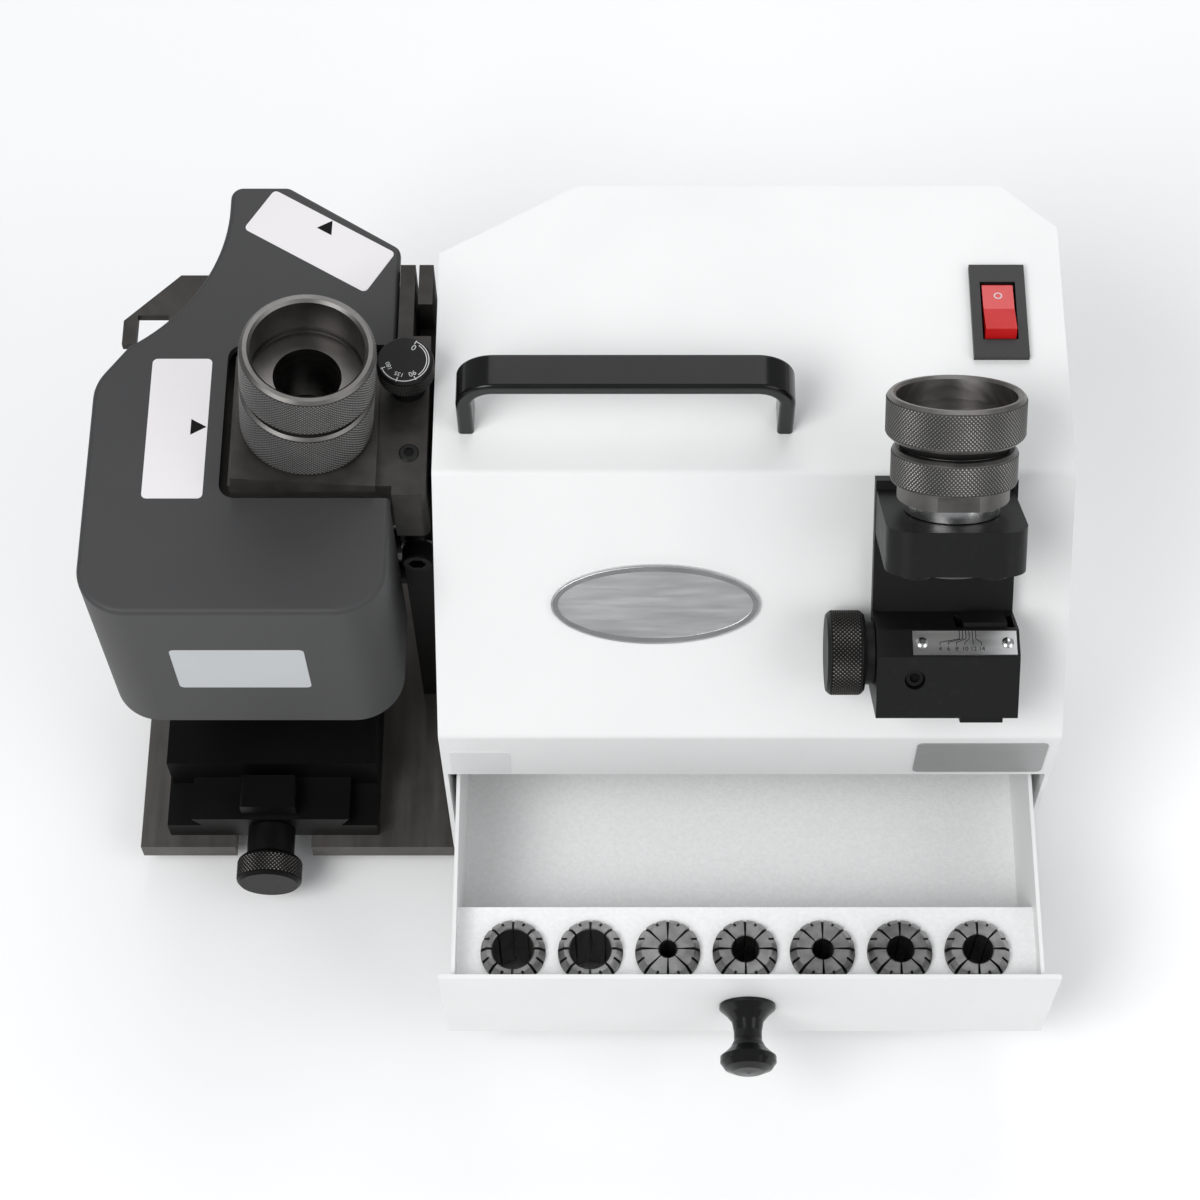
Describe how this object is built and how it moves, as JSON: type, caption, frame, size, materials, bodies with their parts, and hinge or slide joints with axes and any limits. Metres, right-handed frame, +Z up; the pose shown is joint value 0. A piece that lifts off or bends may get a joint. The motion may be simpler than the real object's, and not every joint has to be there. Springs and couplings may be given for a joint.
{
  "type": "end mill sharpener",
  "caption": "Bench-top end-mill sharpener with a sloped white case, a dark wheel guard, a tilted chuck holder, a setting fixture with a collet chuck and an open collet drawer.",
  "frame": {"origin": "bottom centre of the object's box, on the bench", "axes": "+X to the operator's right, along the motor shaft and the longest extent; +Y to the back; +Z up"},
  "size_m": [0.3098, 0.2792, 0.2297],
  "materials": {
    "off_white_coat": "fine textured powder coat",
    "guard_coat": "dark grey satin paint",
    "cast_steel": "ground and oiled, brownish grey",
    "black_oxide": "black oxide with worn edges",
    "knurled_steel": "turned and knurled",
    "bright_steel": "turned bright",
    "cast_aluminium": "as cast",
    "plate_aluminium": "satin",
    "abrasive_grit": "fine grit",
    "black_gloss": "polished",
    "black_matte": "moulded",
    "red_gloss": "translucent polished",
    "white_foam": "closed-cell foam",
    "black_rubber": "moulded"
  },
  "bodies": {
    "machine": {"case_wrap": "off_white_coat", "left_side_panel": "off_white_coat", "right_side_panel": "off_white_coat", "rear_panel": "off_white_coat", "upright_plate": "cast_steel", "base_plate": "cast_steel", "slide_base": "black_oxide", "feed_bearing_block": "black_oxide", "setter_back_plate": "black_oxide", "setter_block": "black_oxide", "setter_seat": "black_oxide", "seat_screws": "black_oxide", "clamp_bolt": "black_oxide", "motor_bolts": "black_oxide", "clamp_washer": "bright_steel", "spindle_bearings": "bright_steel", "panel_screws": "bright_steel", "drawer_rails": "bright_steel", "motor_front_bell": "cast_aluminium", "motor_rear_bell": "cast_aluminium", "motor_can": "cast_aluminium", "run_capacitor": "cast_aluminium", "scale_plate": "plate_aluminium", "rating_plate": "plate_aluminium", "oval_badge": "plate_aluminium", "carry_handle": "black_gloss", "switch_housing": "black_gloss", "cable_gland": "black_matte", "rubber_feet": "black_rubber"},
    "drawer": {"drawer_tray": "off_white_coat", "drawer_front": "off_white_coat", "collet_rack": "white_foam", "drawer_liner": "white_foam", "collets": "knurled_steel", "drawer_knob": "black_gloss"},
    "rocker": {"switch_rocker": "red_gloss"},
    "spindle": {"motor_shaft": "bright_steel", "motor_rotor": "bright_steel", "wheel_core": "cast_aluminium", "wheel_rim": "abrasive_grit", "wheel_nut": "bright_steel"},
    "carriage": {"slide_carriage": "black_oxide", "holder_column": "cast_steel", "holder_bracket": "cast_steel", "holder_pad": "cast_steel", "holder_seat": "cast_steel", "rear_holder": "cast_steel"},
    "lock_ring": {"lock_ring": "knurled_steel"},
    "socket_ring": {"socket_ring": "knurled_steel"},
    "dial": {"angle_dial": "black_oxide"},
    "guard": {"wheel_guard": "guard_coat"},
    "feed": {"feed_knob": "black_oxide", "feed_screw": "bright_steel"},
    "bar": {"setting_bar": "black_oxide"},
    "setting_screw": {"setting_knob": "black_oxide"},
    "chuck": {"chuck_body": "knurled_steel", "chuck_collar": "bright_steel"},
    "chuck_nut": {"chuck_nut": "knurled_steel"}
  },
  "joints": [
    {"name": "drawer_slide", "type": "slide", "parent": "machine", "child": "drawer", "axis": [0, -1, 0], "range_m": [-0.0682, 0.045]},
    {"name": "rocker_tilt", "type": "hinge", "parent": "machine", "child": "rocker", "pos_m": [0.134, 0.0725, 0.175], "axis": [1, 0, 0], "range_deg": [0, 24]},
    {"name": "spindle_spin", "type": "hinge", "parent": "machine", "child": "spindle", "pos_m": [-0.0336, 0.0374, 0.112], "axis": [1, 0, 0], "continuous": true},
    {"name": "feed_slide", "type": "slide", "parent": "machine", "child": "carriage", "axis": [0, 1, 0], "range_m": [-0.002, 0.007]},
    {"name": "feed_turn", "type": "hinge", "parent": "machine", "child": "feed", "pos_m": [-0.1086, -0.0466, 0.021], "axis": [0, -1, 0], "range_deg": [-721, 2521]},
    {"name": "lock_ring_turn", "type": "hinge", "parent": "carriage", "child": "lock_ring", "pos_m": [-0.08377, 0.03195, 0.18474], "axis": [0.1043, 0.0694, 0.9921], "range_deg": [-180, 180]},
    {"name": "socket_ring_turn", "type": "hinge", "parent": "carriage", "child": "socket_ring", "pos_m": [-0.08147, 0.03348, 0.20656], "axis": [0.1043, 0.0694, 0.9921], "range_deg": [-180, 180]},
    {"name": "dial_turn", "type": "hinge", "parent": "carriage", "child": "dial", "pos_m": [-0.0536, 0.0464, 0.181], "axis": [0, 0, 1], "range_deg": [0, 180]},
    {"name": "guard_lift", "type": "slide", "parent": "carriage", "child": "guard", "axis": [0, 0, 1], "range_m": [0, 0.1]},
    {"name": "bar_slide", "type": "slide", "parent": "machine", "child": "bar", "axis": [1, 0, 0], "range_m": [-0.002, 0.002]},
    {"name": "setting_turn", "type": "hinge", "parent": "machine", "child": "setting_screw", "pos_m": [0.0924, -0.03305, 0.14508], "axis": [-1, 0, 0], "range_deg": [-721, 721]},
    {"name": "chuck_lift", "type": "slide", "parent": "machine", "child": "chuck", "axis": [0, 0.6861, 0.7275], "range_m": [0, 0.04]},
    {"name": "nut_turn", "type": "hinge", "parent": "chuck", "child": "chuck_nut", "pos_m": [0.1139, 0.00176, 0.19802], "axis": [0, 0.6861, 0.7275], "continuous": true}
  ],
  "couplings": [
    {"joint": "feed_turn", "follows": "feed_slide", "rad_per_m": 6283.2},
    {"joint": "setting_turn", "follows": "bar_slide", "rad_per_m": 6283.2}
  ]
}
